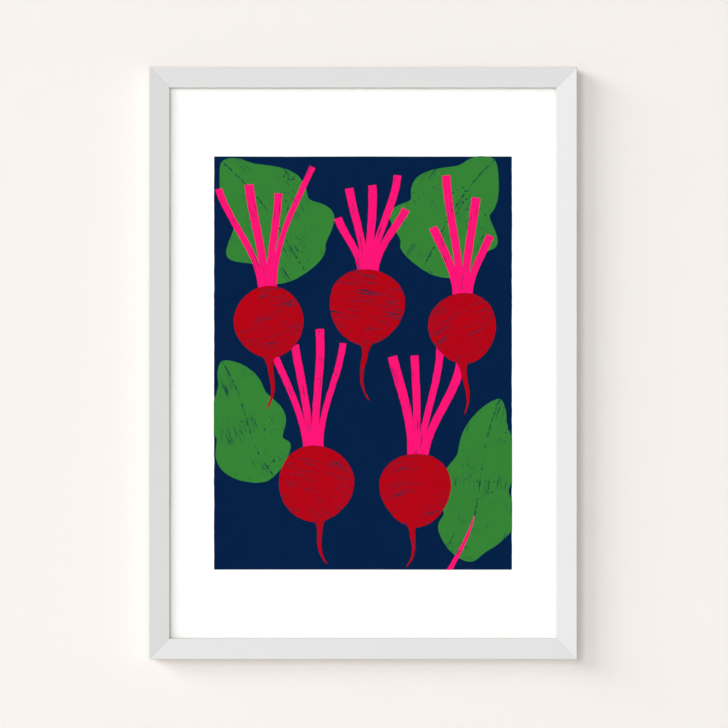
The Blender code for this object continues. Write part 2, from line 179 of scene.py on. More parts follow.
def makeScratches():  # long thin strokes along the pattern's x, in loose groups
    tree, given, out = newGroup(
        "scratches",
        [("Vector", "NodeSocketVector", None), ("Length", "NodeSocketFloat", 0.05),
         ("Width", "NodeSocketFloat", 0.0025), ("Cover", "NodeSocketFloat", 0.5)],
        [("Mask", "NodeSocketFloat")],
    )
    split = node(tree, "ShaderNodeSeparateXYZ", (-1000, 0))
    tree.links.new(given.outputs["Vector"], split.inputs[0])
    along = calc(tree, (-820, 120), "DIVIDE", split.outputs[0], given.outputs["Length"])
    across = calc(tree, (-820, -60), "DIVIDE", split.outputs[1], given.outputs["Width"])
    joined = node(tree, "ShaderNodeCombineXYZ", (-660, 0))
    for socket, value in zip(joined.inputs, (along, across, split.outputs[2])):
        tree.links.new(value, socket)
    lines = fill(node(tree, "ShaderNodeTexNoise", (-480, 100)), Scale=1.0, Detail=2.0, Roughness=0.55)
    patches = fill(node(tree, "ShaderNodeTexNoise", (-480, -200)), Scale=34.0, Detail=1.0)
    tree.links.new(joined.outputs[0], lines.inputs["Vector"])
    tree.links.new(given.outputs["Vector"], patches.inputs["Vector"])
    thin = remap(tree, (-260, 100), lines.outputs[0], 0.585, 0.615)
    half = calc(tree, (-560, -420), "MULTIPLY", given.outputs["Cover"], 0.5)
    edge = calc(tree, (-400, -400), "SUBTRACT", 0.8, half)
    near = calc(tree, (-240, -200), "SUBTRACT", patches.outputs[0], edge)
    spread = remap(tree, (-80, -200), near, -0.04, 0.06)
    tree.links.new(calc(tree, (200, 0), "MULTIPLY", thin, spread), out.inputs["Mask"])
    return tree


def makeFibre():  # soft tooth of paper, board or paint, as a height and a tone round 0.5
    tree, given, out = newGroup(
        "fibre",
        [("Vector", "NodeSocketVector", None), ("Size", "NodeSocketFloat", 0.0008),
         ("Stretch", "NodeSocketFloat", 1.0)],
        [("Height", "NodeSocketFloat"), ("Tone", "NodeSocketFloat")],
    )
    split = node(tree, "ShaderNodeSeparateXYZ", (-1000, 0))
    tree.links.new(given.outputs["Vector"], split.inputs[0])
    joined = node(tree, "ShaderNodeCombineXYZ", (-640, 0))
    drawn = calc(tree, (-820, 100), "DIVIDE", split.outputs[0], given.outputs["Stretch"])
    tree.links.new(drawn, joined.inputs[0])
    tree.links.new(split.outputs[1], joined.inputs[1])
    tree.links.new(split.outputs[2], joined.inputs[2])
    fineScale = calc(tree, (-640, 240), "DIVIDE", 1.0, given.outputs["Size"])
    fine = fill(node(tree, "ShaderNodeTexNoise", (-420, 160)), Detail=4.0, Roughness=0.6)
    cloud = fill(node(tree, "ShaderNodeTexNoise", (-420, -140)), Scale=14.0, Detail=3.0)
    tree.links.new(fineScale, fine.inputs["Scale"])
    for made in (fine, cloud):
        tree.links.new(joined.outputs[0], made.inputs["Vector"])
    tone = calc(tree, (0, -120), "ADD", calc(tree, (-180, 0), "MULTIPLY", fine.outputs[0], 0.4),
                calc(tree, (-180, -200), "MULTIPLY", cloud.outputs[0], 0.6))
    tree.links.new(fine.outputs[0], out.inputs["Height"])
    tree.links.new(tone, out.inputs["Tone"])
    return tree


speckle, scratches, fibre = makeSpeckle(), makeScratches(), makeFibre()


def objectVector(tree):
    return node(tree, "ShaderNodeTexCoord", (-1100, 0)).outputs["Object"]


def patternVector(tree):  # a piece's own UV, laid out in metres along its grain
    return node(tree, "ShaderNodeUVMap", (-1100, -200), uv_map="grain").outputs[0]


paintLook = {
    "paint": (0.652, 0.656, 0.657),
    "shade": (0.636, 0.641, 0.643),
    "wood": (0.60, 0.45, 0.28),
    "darkWood": (0.42, 0.28, 0.15),
    "pore": (0.26, 0.16, 0.08),
    "rough": 0.42,
    "sprayWander": 0.9 * mm,  # how unevenly the paint stops at the back
    "sideMargin": 1 * mm,  # from an outer side, within which a face behind the lip is painted
}


def makePaint():
    look = paintLook
    material, tree, shader = newMaterial("paintedWood", look["paint"], look["rough"], Specular_IOR_Level=0.4)
    grain = patternVector(tree)
    brush = useGroup(tree, fibre, (-860, 200), Size=0.0011, Stretch=30.0)
    figure = useGroup(tree, fibre, (-860, -100), Size=0.006, Stretch=14.0)
    for group in (brush, figure):
        tree.links.new(grain, group.inputs["Vector"])
    tone = remap(tree, (-640, 200), brush.outputs["Tone"], 0.3, 0.7)
    paint = mixColours(tree, (-440, 260), tone, look["shade"], look["paint"])
    ring = remap(tree, (-640, -100), figure.outputs["Tone"], 0.38, 0.62)
    wood = mixColours(tree, (-440, 0), ring, look["darkWood"], look["wood"])
    pores = useGroup(tree, scratches, (-860, -760), Length=0.009, Width=0.0004, Cover=1.0)
    tree.links.new(grain, pores.inputs["Vector"])
    poreShade = calc(tree, (-640, -760), "MULTIPLY", pores.outputs["Mask"], 0.4)
    wood = mixColours(tree, (-300, -60), poreShade, wood, look["pore"])
    # bare wood on the back, with an uneven edge where the spray stops
    place = node(tree, "ShaderNodeSeparateXYZ", (-900, -420))
    spot = objectVector(tree)
    tree.links.new(spot, place.inputs[0])
    ragged = fill(node(tree, "ShaderNodeTexNoise", (-900, -620)), Scale=260.0, Detail=4.0)
    tree.links.new(spot, ragged.inputs["Vector"])
    wander = calc(tree, (-700, -600), "MULTIPLY", ragged.outputs[0], look["sprayWander"])
    depth = calc(tree, (-560, -480), "ADD", place.outputs[1], wander)
    back = remap(tree, (-400, -480), depth, backY - 0.02 * mm, backY + 0.08 * mm)
    # and in the rebate, which is every face behind the lip that isn't an outer side
    centred = node(tree, "ShaderNodeVectorMath", (-900, -900), operation="SUBTRACT")
    centred.inputs[1].default_value = middle
    tree.links.new(spot, centred.inputs[0])
    mirrored = node(tree, "ShaderNodeVectorMath", (-740, -900), operation="ABSOLUTE")
    tree.links.new(centred.outputs[0], mirrored.inputs[0])
    inset = node(tree, "ShaderNodeVectorMath", (-580, -900), operation="SUBTRACT")
    inset.inputs[1].default_value = (
        outerRight - look["sideMargin"], 0, outerTop - middle.z - look["sideMargin"])
    tree.links.new(mirrored.outputs[0], inset.inputs[0])
    sides = node(tree, "ShaderNodeSeparateXYZ", (-420, -900))
    tree.links.new(inset.outputs[0], sides.inputs[0])
    outermost = calc(tree, (-260, -900), "MAXIMUM", sides.outputs[0], sides.outputs[2])
    within = calc(tree, (-100, -900), "LESS_THAN", outermost, 0.0)
    behindLip = calc(tree, (-260, -760), "GREATER_THAN", place.outputs[1], glassFront - 0.4 * mm)
    rebate = calc(tree, (60, -840), "MULTIPLY", within, behindLip)
    bare = calc(tree, (-240, -520), "MAXIMUM", back, rebate)
    tree.links.new(mixColours(tree, (-200, 160), bare, paint, wood), shader.inputs["Base Color"])
    sheen = remap(tree, (-400, -240), brush.outputs["Tone"], 0.3, 0.7,
                  look["rough"] - 0.05, look["rough"] + 0.06)
    dull = calc(tree, (-220, -240), "ADD", sheen, calc(tree, (-300, -300), "MULTIPLY", bare, 0.25))
    tree.links.new(dull, shader.inputs["Roughness"])
    addBump(tree, shader, brush.outputs["Height"], 0.25, 0.06 * mm)
    return material


def makeGlazing():
    material, tree, shader = newMaterial("clearAcrylic", (0.985, 0.992, 0.99), 0.02, IOR=1.06,
                                         Transmission_Weight=1.0)
    # lamps and bounced light go straight through, so the print is lit as if the pane were open
    clear = node(tree, "ShaderNodeBsdfTransparent", (100, -200))
    path = node(tree, "ShaderNodeLightPath", (-100, 300))
    bounce = node(tree, "ShaderNodeMixShader", (300, 100))
    shade = node(tree, "ShaderNodeMixShader", (500, 0))
    tree.links.new(path.outputs["Is Diffuse Ray"], bounce.inputs[0])
    tree.links.new(shader.outputs[0], bounce.inputs[1])
    tree.links.new(clear.outputs[0], bounce.inputs[2])
    tree.links.new(path.outputs["Is Shadow Ray"], shade.inputs[0])
    tree.links.new(bounce.outputs[0], shade.inputs[1])
    tree.links.new(clear.outputs[0], shade.inputs[2])
    tree.links.new(shade.outputs[0], tree.nodes["Material Output"].inputs["Surface"])
    return material


def makeSheet(name, light, dark, size, rough, bump, stretch=1.0):  # paper, card and tape
    material, tree, shader = newMaterial(name, light, rough, Specular_IOR_Level=0.25)
    vector = objectVector(tree)
    tooth = useGroup(tree, fibre, (-800, 100), Size=size, Stretch=stretch)
    tree.links.new(vector, tooth.inputs["Vector"])
    tone = remap(tree, (-560, 100), tooth.outputs["Tone"], 0.32, 0.68)
    colour = mixColours(tree, (-360, 160), tone, dark, light)
    tree.links.new(colour, shader.inputs["Base Color"])
    tree.links.new(remap(tree, (-360, -60), tooth.outputs["Tone"], 0.3, 0.7, rough - 0.06, rough + 0.08),
                   shader.inputs["Roughness"])
    addBump(tree, shader, tooth.outputs["Height"], 0.35, bump)
    return material


def makeHardboard():  # pressed fibres, with the faint weave of the press's wire screen
    light, dark = (0.215, 0.122, 0.062), (0.150, 0.080, 0.039)
    material, tree, shader = newMaterial("hardboard", light, 0.7, Specular_IOR_Level=0.3)
    vector = objectVector(tree)
    strands = useGroup(tree, fibre, (-900, 300), Size=0.0016, Stretch=3.0)
    grit = useGroup(tree, speckle, (-900, 60), Size=0.0010, Cover=1.1)
    for group in (strands, grit):
        tree.links.new(vector, group.inputs["Vector"])
    fine = fill(node(tree, "ShaderNodeTexNoise", (-900, -140)), Scale=620.0, Detail=3.0, Roughness=0.7)
    tree.links.new(vector, fine.inputs["Vector"])
    broad = calc(tree, (-780, 240), "MULTIPLY", strands.outputs["Tone"], 0.45)
    mottle = calc(tree, (-680, 200), "ADD", broad, calc(tree, (-780, 160), "MULTIPLY", fine.outputs[0], 0.55))
    colour = mixColours(tree, (-460, 260), remap(tree, (-560, 200), mottle, 0.36, 0.64), dark, light)
    colour = mixColours(tree, (-240, 260), grit.outputs["Mask"], colour, (0.105, 0.054, 0.026))
    tree.links.new(colour, shader.inputs["Base Color"])
    tree.links.new(remap(tree, (-300, 0), mottle, 0.36, 0.64, 0.62, 0.8), shader.inputs["Roughness"])
    waves = []
    for direction in ("X", "Z"):
        wave = node(tree, "ShaderNodeTexWave", (-900, -360), wave_type="BANDS", bands_direction=direction)
        fill(wave, Scale=210.0, Distortion=0.6)
        tree.links.new(vector, wave.inputs["Vector"])
        waves.append(wave.outputs["Fac"])
    weave = calc(tree, (-600, -360), "MULTIPLY", waves[0], waves[1])
    screen = calc(tree, (-520, -300), "MULTIPLY", weave, 0.5)
    height = calc(tree, (-440, -360), "ADD", screen, fine.outputs[0])
    addBump(tree, shader, height, 0.5, 0.12 * mm)
    return material


inkLooks = {
    "navy": {"colour": (0.0002, 0.0117, 0.0520), "specks": 0.0, "lines": 0.0, "vein": 0.0},
    "green": {"colour": (0.0305, 0.1950, 0.0310), "specks": 0.62, "lines": 0.45, "vein": 0.8 * mm},
    "pink": {"colour": (0.87, 0.0052, 0.162), "specks": 0.50, "lines": 0.55, "vein": 0.0},
    "red": {"colour": (0.392, 0.0003, 0.0058), "specks": 0.36, "lines": 0.74, "vein": 0.0},
}
groundTone = (0.002, 0.014, 0.048)


def makeInk(name):
    look = inkLooks[name]
    material, tree, shader = newMaterial(name + "Ink", look["colour"], 0.7, Specular_IOR_Level=0.03)
    vector = objectVector(tree)
    film = useGroup(tree, fibre, (-860, 300), Size=0.0014, Stretch=1.0)
    tree.links.new(vector, film.inputs["Vector"])
    tone = remap(tree, (-640, 300), film.outputs["Tone"], 0.35, 0.65)
    colour = mixColours(tree, (-440, 300), tone, tuple(c * 0.94 for c in look["colour"]), look["colour"])
    if look["specks"]:
        spots = useGroup(tree, speckle, (-860, 0), Size=0.0030, Cover=look["specks"])
        tree.links.new(vector, spots.inputs["Vector"])
        grain = patternVector(tree)
        strokes = useGroup(tree, scratches, (-860, -240), Length=0.034, Width=0.0013, Cover=look["lines"])
        tree.links.new(grain, strokes.inputs["Vector"])
        missing = calc(tree, (-600, -80), "MAXIMUM", spots.outputs["Mask"], strokes.outputs["Mask"])
        if look["vein"]:  # a broken line down the midrib
            place = node(tree, "ShaderNodeSeparateXYZ", (-860, -480))
            tree.links.new(grain, place.inputs[0])
            off = calc(tree, (-700, -480), "ABSOLUTE", place.outputs[1], 0)
            near = remap(tree, (-540, -480), off, look["vein"] * 0.7, look["vein"], 1.0, 0.0)
            gaps = fill(node(tree, "ShaderNodeTexNoise", (-700, -640)), Scale=420.0, Detail=2.0)
            tree.links.new(vector, gaps.inputs["Vector"])
            inked = remap(tree, (-540, -640), gaps.outputs[0], 0.46, 0.52)
            broken = calc(tree, (-380, -520), "MULTIPLY", near, inked)
            missing = calc(tree, (-420, -200), "MAXIMUM", missing, broken)
        bare = calc(tree, (-300, -80), "MULTIPLY", missing, 0.9)
        colour = mixColours(tree, (-200, 260), bare, colour, groundTone)
    tree.links.new(colour, shader.inputs["Base Color"])
    rough = remap(tree, (-400, 60), film.outputs["Tone"], 0.3, 0.7, 0.64, 0.78)
    tree.links.new(rough, shader.inputs["Roughness"])
    addBump(tree, shader, film.outputs["Height"], 0.2, 0.03 * mm)
    return material


def makeZinc():
    material, tree, shader = newMaterial("zincSteel", (0.62, 0.62, 0.60), 0.34, metallic=1.0)
    vector = objectVector(tree)
    spangle = fill(node(tree, "ShaderNodeTexVoronoi", (-860, 200)), Scale=520.0)
    tree.links.new(vector, spangle.inputs["Vector"])
    rub = useGroup(tree, scratches, (-860, -100), Length=0.007, Width=0.0002, Cover=0.75)
    # lays the strokes flat on the plates, at a slant
    turn = node(tree, "ShaderNodeMapping", (-1060, -100))
    fill(turn, Rotation=(math.radians(90), 0, math.radians(24)))
    tree.links.new(vector, turn.inputs["Vector"])
    tree.links.new(turn.outputs[0], rub.inputs["Vector"])
    cloud = useGroup(tree, fibre, (-860, -340), Size=0.0022, Stretch=1.0)
    tree.links.new(vector, cloud.inputs["Vector"])
    tint = remap(tree, (-620, 200), cloud.outputs["Tone"], 0.3, 0.7)
    warm = mixColours(tree, (-420, 260), tint, (0.56, 0.57, 0.57), (0.70, 0.69, 0.66))
    colour = mixColours(tree, (-220, 220), rub.outputs["Mask"], warm, (0.50, 0.49, 0.47))
    tree.links.new(colour, shader.inputs["Base Color"])
    rough = remap(tree, (-420, 0), spangle.outputs["Distance"], 0.0, 1.0, 0.28, 0.46)
    tree.links.new(rough, shader.inputs["Roughness"])
    addBump(tree, shader, cloud.outputs["Height"], 0.2, 0.04 * mm)
    return material


def makeRubber():
    material, tree, shader = newMaterial("bumperRubber", (0.78, 0.78, 0.74), 0.4, Subsurface_Weight=0.3,
                                         Subsurface_Scale=0.002)
    cloud = useGroup(tree, fibre, (-800, 0), Size=0.0012, Stretch=1.0)
    tree.links.new(objectVector(tree), cloud.inputs["Vector"])
    tone = remap(tree, (-560, 100), cloud.outputs["Tone"], 0.3, 0.7)
    colour = mixColours(tree, (-320, 160), tone, (0.70, 0.69, 0.64), (0.80, 0.80, 0.77))
    tree.links.new(colour, shader.inputs["Base Color"])
    rough = remap(tree, (-320, -40), cloud.outputs["Tone"], 0.3, 0.7, 0.34, 0.5)
    tree.links.new(rough, shader.inputs["Roughness"])
    addBump(tree, shader, cloud.outputs["Height"], 0.15, 0.05 * mm)
    return material


paint = makePaint()
acrylic = makeGlazing()
paper = makeSheet("printPaper", (0.935, 0.935, 0.93), (0.915, 0.915, 0.905), 0.0007, 0.78, 0.03 * mm)
mountCard = makeSheet("mountCard", (0.88, 0.875, 0.85), (0.83, 0.82, 0.79), 0.0009, 0.82, 0.05 * mm)
tape = makeSheet("gummedTape", (0.80, 0.73, 0.58), (0.70, 0.62, 0.47), 0.0012, 0.7, 0.05 * mm, stretch=4.0)
foamCard = makeSheet("foamCard", (0.86, 0.86, 0.84), (0.80, 0.80, 0.78), 0.0014, 0.75, 0.05 * mm)
hardboard = makeHardboard()
zinc = makeZinc()
rubber = makeRubber()
inks = {name: makeInk(name) for name in inkLooks}
print("materials made")


def keepPiece(bm, name, material, nodes=(), smooth=True):
    bmesh.ops.recalc_face_normals(bm, faces=bm.faces)
    mesh = bpy.data.meshes.new(name)
    bm.to_mesh(mesh)
    bm.free()
    mesh.materials.append(material)
    piece = bpy.data.objects.new(name, mesh)
    bpy.context.scene.collection.objects.link(piece)
    if smooth:
        mesh.shade_smooth()
        mesh.set_sharp_from_angle(angle=math.radians(40))
        even = piece.modifiers.new("even", "WEIGHTED_NORMAL")
        even.keep_sharp = True
        even.weight = 100
    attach(piece, frame["nodes"][nodes[0]]["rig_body"] if nodes else body)
    if nodes:
        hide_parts(*nodes)
    return piece


def copyNode(name):  # a CAD node's shape with its triangles joined back into faces
    bm = bmesh.new()
    bm.from_mesh(frame["nodes"][name].data)
    bmesh.ops.remove_doubles(bm, verts=bm.verts, dist=0.002 * mm)
    bmesh.ops.dissolve_limit(bm, angle_limit=math.radians(1), verts=bm.verts, edges=bm.edges)
    return bm


def roundEdges(bm, offset, segments=3, angle=50):
    sharp = [e for e in bm.edges if len(e.link_faces) == 2 and e.calc_face_angle() > math.radians(angle)]
    bmesh.ops.bevel(bm, geom=sharp, offset=offset, offset_type="OFFSET", affect="EDGES", segments=segments,
                    profile=0.5, material=-1, clamp_overlap=True)


def boxMiddle(name):
    low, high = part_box(name)
    return (low + high) / 2


def pull(bm, face, move):  # extrudes one face by a vector and hands back the moved face
    made = bmesh.ops.extrude_face_region(bm, geom=[face])["geom"]
    bmesh.ops.translate(bm, vec=move, verts=[g for g in made if isinstance(g, bmesh.types.BMVert)])
    return next(g for g in made if isinstance(g, bmesh.types.BMFace))


def swing(bm, face, centre, axis, degrees, steps):  # carries one face round an axis
    made = bmesh.ops.spin(bm, geom=[face], cent=centre, axis=axis, angle=math.radians(degrees), steps=steps)
    return next(g for g in made["geom_last"] if isinstance(g, bmesh.types.BMFace))


def turned(profile, steps):  # spins (radius, y) points round the Y axis
    bm = bmesh.new()
    points = [bm.verts.new((r, y, 0)) for r, y in profile]
    line = [bm.edges.new(pair) for pair in zip(points, points[1:])]
    bmesh.ops.spin(bm, geom=[*points, *line], cent=(0, 0, 0), axis=(0, 1, 0), angle=math.tau, steps=steps,
                   use_merge=True)
    bmesh.ops.remove_doubles(bm, verts=bm.verts, dist=0.0005 * mm)
    bmesh.ops.recalc_face_normals(bm, faces=bm.faces)
    return bm


def carve(bm, other, operation="DIFFERENCE"):  # takes one closed shape out of another, or joins both
    pair = []
    for shape in (bm, other):
        mesh = bpy.data.meshes.new("carving")
        shape.to_mesh(mesh)
        shape.free()
        pair.append(bpy.data.objects.new("carving", mesh))
        bpy.context.scene.collection.objects.link(pair[-1])
    boolean = pair[0].modifiers.new("boolean", "BOOLEAN")
    boolean.operation = operation
    boolean.object = pair[1]
    boolean.use_self = True
    done = bmesh.new()
    done.from_object(pair[0], bpy.context.evaluated_depsgraph_get())
    for obj in pair:
        bpy.data.objects.remove(obj)
    return done


railLook = {
    "faceDrop": 3.0 * mm,
    "outerRound": 0.9 * mm,
    "sightRound": 0.8 * mm,
    "smallRound": 0.4 * mm,
    "lipGap": 0.3 * mm,
    "mitreGap": 0.05 * mm,
    "screwHole": 1.25 * mm,
    "wedgeGap": 0.06 * mm,
    "mitreRound": 0.16 * mm,
}


def railHoles(side):  # the screw holes and wedge slots in one rail
    holes = bmesh.new()
    for name in frame["nodes"]:
        if name.startswith(("turn_screw_" + side, "hanger_screw_" + side)):
            low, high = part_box(name)
            centre = Vector(((low.x + high.x) / 2, low.y + 5 * mm, (low.z + high.z) / 2))
            place = Matrix.Translation(centre) @ Matrix.Rotation(math.radians(90), 4, "X")
            bmesh.ops.create_cone(holes, cap_ends=True, segments=24, radius1=railLook["screwHole"],
                                  radius2=railLook["screwHole"], depth=10.4 * mm, matrix=place)
        if name.startswith("corner_wedge_") and side in name:
            slot = copyNode(name)
            for v in slot.verts:
                v.co += v.normal * railLook["wedgeGap"]
                if v.co.y > backY - 1 * mm:
                    v.co.y += 1 * mm
            mesh = bpy.data.meshes.new("slot")
            slot.to_mesh(mesh)
            slot.free()
            holes.from_mesh(mesh)
            bpy.data.meshes.remove(mesh)
    return holes


def makeRail(side, turn):
    look = railLook
    across = side in ("bottom", "top")
    length = outerRight - outerLeft if across else outerTop - outerBottom
    half = (outerTop - outerBottom if across else outerRight - outerLeft) / 2
    lipY = glassFront - look["lipGap"]
    sightY = frontY + look["faceDrop"]
    corners = [  # across the rail from its outer edge, depth, and how much each is rounded
        (0, backY, look["smallRound"]),
        (2 * screwLine, backY, look["smallRound"]),
        (2 * screwLine, lipY, 0),
        (railWidth, lipY, look["smallRound"]),
        (railWidth, sightY, look["sightRound"]),
        (0, frontY, look["outerRound"]),
    ]
    bm = bmesh.new()
    outline = [bm.verts.new((-length / 2, y, w - half)) for w, y, _ in corners]
    grown = bmesh.ops.extrude_face_region(bm, geom=[bm.faces.new(outline)])["geom"]
    bmesh.ops.translate(bm, vec=(length, 0, 0), verts=[g for g in grown if isinstance(g, bmesh.types.BMVert)])
    for w, y, radius in corners:
        if radius:
            long = [e for e in bm.edges
                    if all(abs(v.co.y - y) < 1e-6 and abs(v.co.z - w + half) < 1e-6 for v in e.verts)]
            bmesh.ops.bevel(bm, geom=long, offset=radius, offset_type="OFFSET", affect="EDGES", segments=6,
                            profile=0.5, material=-1)
    for way in (-1, 1):  # the mitres
        normal = Vector((way, 0, 1)).normalized()
        corner = Vector((way * length / 2, 0, -half)) - normal * look["mitreGap"] / 2
        bmesh.ops.bisect_plane(bm, geom=[*bm.verts, *bm.edges, *bm.faces], dist=1e-7, plane_co=corner,
                               plane_no=normal, clear_outer=True)
        rim = [e for e in bm.edges if e.is_boundary]
        bmesh.ops.holes_fill(bm, edges=rim)
    ends = [f for f in bm.faces if abs(f.normal.x) > 0.5]
    rims = [e for f in ends for e in f.edges if e.calc_face_angle(0) > math.radians(30)]
    bmesh.ops.bevel(bm, geom=rims, offset=look["mitreRound"], offset_type="OFFSET", affect="EDGES",
                    segments=2, profile=0.5, material=-1, clamp_overlap=True)
    grain = bm.loops.layers.uv.new("grain")
    for face in bm.faces:
        for loop in face.loops:
            x, y, z = loop.vert.co
            loop[grain].uv = (x + 2 * half, z + y)
    place = Matrix.Translation(middle) @ Matrix.Rotation(math.radians(turn), 4, "Y")
    bmesh.ops.transform(bm, matrix=place, verts=bm.verts)
    bm = carve(bm, railHoles(side))
    return keepPiece(bm, side + "Moulding", paint, [side + "_rail"])


for side, turn in sideTurns.items():
    makeRail(side, turn)
print("rails made")


sheetLook = {"glazingEdge": 0.3 * mm, "boardEdge": 0.12 * mm, "tapeEdge": 0.03 * mm}


def makeSheetPiece(source, name, material, edge):
    bm = copyNode(source)
    roundEdges(bm, edge, segments=2)
    return keepPiece(bm, name, material, [source])


makeSheetPiece("glazing_sheet", "acrylicPane", acrylic, sheetLook["glazingEdge"])
makeSheetPiece("art_print", "printSheet", paper, sheetLook["tapeEdge"])
makeSheetPiece("mount_board", "mountBoard", mountCard, sheetLook["boardEdge"])
makeSheetPiece("filler_board", "foamBoard", foamCard, sheetLook["boardEdge"])
makeSheetPiece("backing_board", "backingBoard", hardboard, sheetLook["boardEdge"])
for side in ("left", "right"):
    makeSheetPiece("hinge_tape_" + side, "hingeTape_" + side, tape, sheetLook["tapeEdge"])
print("sheets made")


# The printed inks are thin films of their own on the paper, laid one over the next
artwork = {
    "width": 317.0, "height": 439.5,  # mm, as are the places below, from the middle of the print
    "film": 0.03,
    "ragged": 0.36,
    # root: middle, radius, how far it narrows to its tail, which way its stems point, how many, their
    # spread and length, the way of its growth lines, and its tail as seen with the stems upright
    "beets": [
        {"at": (-100, 46), "radius": 37, "drop": 0.12, "up": 92, "stems": 4, "spread": 40,
         "length": 128, "lines": 14,
         "tail": [(0, 2), (-4, -24), (10, -38), (-6, -60)]},
        {"at": (4, 62), "radius": 40, "drop": 0.06, "up": 88, "stems": 5, "spread": 48,
         "length": 122, "lines": -8,
         "tail": [(0, 2), (4, -26), (-12, -40), (6, -66)]},
        {"at": (106, 40), "radius": 36, "drop": 0.14, "up": 90, "stems": 4, "spread": 38,
         "length": 130, "lines": 22,
         "tail": [(0, 2), (-2, -24), (12, -36), (2, -60)]},
        {"at": (-50, -126), "radius": 40, "drop": 0.08, "up": 94, "stems": 4, "spread": 30,
         "length": 128, "lines": -20,
         "tail": [(0, 2), (4, -22), (-8, -32), (6, -52)]},
        {"at": (56, -132), "radius": 38, "drop": 0.10, "up": 86, "stems": 4, "spread": 30,
         "length": 132, "lines": 10,
         "tail": [(0, 2), (-4, -20), (10, -32), (-4, -50)]},
    ],
    # leaf: its midrib from the stem to the tip, half width, lobes, how much of the midrib is pink
    "leaves": [
        {"rib": [(-60, 96), (-84, 130), (-96, 168), (-150, 214)], "width": 50,
         "lobes": 2.6, "pink": 0.0, "seed": 3.1},
        {"rib": [(62, 100), (84, 132), (92, 172), (140, 216)], "width": 50,
         "lobes": 2.8, "pink": 0.0, "seed": 7.4},
        {"rib": [(-94, -120), (-128, -84), (-118, -46), (-150, 2)], "width": 37,
         "lobes": 2.3, "pink": 0.0, "seed": 11.6},
        {"rib": [(100, -206), (132, -160), (116, -104), (146, -38)], "width": 39,
         "lobes": 2.5, "pink": 0.30, "seed": 15.9},
    ],
}


def along(points, t):  # a point on the smooth curve that a few control points pull
    points = [Vector(p) for p in points]
    while len(points) > 1:
        points = [a.lerp(b, t) for a, b in zip(points, points[1:])]
    return points[0]


def wobble(at, seed):  # the slightly torn edge of a hand-cut block
    coarse = noise.noise(Vector((at.x / 6, at.y / 6, seed)))
    fine = noise.noise(Vector((at.x / 1.6, at.y / 1.6, seed + 40)))
    return artwork["ragged"] * (coarse + 0.45 * fine)


def addStrip(bm, curve, halfWidth, rows, seed):  # a flat strip along a curve
    grain = bm.loops.layers.uv["grain"]
    made = bmesh.ops.create_grid(bm, x_segments=rows, y_segments=4, size=0.5)["verts"]
    length = sum((along(curve, (i + 1) / 20) - along(curve, i / 20)).length for i in range(20))
    where = {}
    for v in made:
        t, across = v.co.x + 0.5, v.co.y * 2
        heading = (along(curve, min(t + 0.01, 1)) - along(curve, max(t - 0.01, 0))).normalized()
        side = Vector((-heading.y, heading.x))
        reach = across * halfWidth(t, across)
        flat = along(curve, t) + side * reach
        if abs(across) > 0.9:
            flat += side * (1 if across > 0 else -1) * wobble(flat, seed)
        if t < 0.001 or t > 0.999:
            flat += heading * wobble(flat, seed + 5)
        where[v] = (t * length * mm + seed, reach * mm)
        v.co = (flat.x * mm, 0, flat.y * mm)
    for face in {f for v in made for f in v.link_faces}:
        for loop in face.loops:
            loop[grain].uv = where[loop.vert]


def addDisc(bm, beet, seed):  # a root: nearly round, a little flat on its shoulders
    grain = bm.loops.layers.uv["grain"]
    radius = beet["radius"]
    up = Vector((math.cos(math.radians(beet["up"])), math.sin(math.radians(beet["up"]))))
    made = bmesh.ops.create_circle(bm, cap_ends=True, segments=180, radius=radius)["verts"]
    turnLines = Matrix.Rotation(math.radians(-beet["lines"]), 2)
    for v in made:
        flat = Vector((v.co.x, v.co.y))
        way = flat.normalized()
        swell = 1 + 0.022 * math.sin(3 * math.atan2(way.y, way.x) + seed) - 0.05 * max(0, way.dot(up)) ** 3
        swell += beet["drop"] * max(0, -way.dot(up)) ** 5
        flat = flat * swell + way * wobble(flat, seed)
        v.co = ((flat.x + beet["at"][0]) * mm, 0, (flat.y + beet["at"][1]) * mm)
    for face in {f for v in made for f in v.link_faces}:
        for loop in face.loops:
            flat = turnLines @ (Vector((loop.vert.co.x, loop.vert.co.z)) / mm - Vector(beet["at"]))
            loop[grain].uv = (flat.x * mm + seed, (flat.y + flat.x ** 2 * 0.004) * mm)


def newInk():
    bm = bmesh.new()
    bm.loops.layers.uv.new("grain")
    return bm


def layInk(bm, name, level):  # trims an ink to the printed area, gives it its thickness and joins its shapes
    halfW, halfH = artwork["width"] / 2 * mm, artwork["height"] / 2 * mm
    for way in ((1, 0, 0), (-1, 0, 0), (0, 0, 1), (0, 0, -1)):
        normal = Vector(way)
        edge = Vector((halfW * normal.x, 0, halfH * normal.z))
        bmesh.ops.bisect_plane(bm, geom=[*bm.verts, *bm.edges, *bm.faces], dist=1e-7, plane_co=edge,
                               plane_no=normal, clear_outer=True)
    bmesh.ops.translate(bm, vec=(0, -level * artwork["film"] * mm, 0), verts=bm.verts)
    made = bmesh.ops.extrude_face_region(bm, geom=bm.faces[:], use_keep_orig=True)["geom"]
    thickness = -artwork["film"] * mm
    top = [g for g in made if isinstance(g, bmesh.types.BMVert)]
    bmesh.ops.translate(bm, vec=(0, thickness, 0), verts=top)
    bmesh.ops.translate(bm, vec=(middle.x, paperY - 0.002 * mm, middle.z), verts=bm.verts)
    bmesh.ops.recalc_face_normals(bm, faces=bm.faces)
    if level:
        bm = carve(bm, newInk(), "UNION")
    keepPiece(bm, name + "Film", inks[name], smooth=False)


def makeGround():
    bm = newInk()
    width, height = artwork["width"], artwork["height"]
    addStrip(bm, [(0, -height / 2 + 0.3), (0, height / 2 - 0.3)], lambda t, q: width / 2 - 0.3, 120, 0.5)
    layInk(bm, "navy", 0)


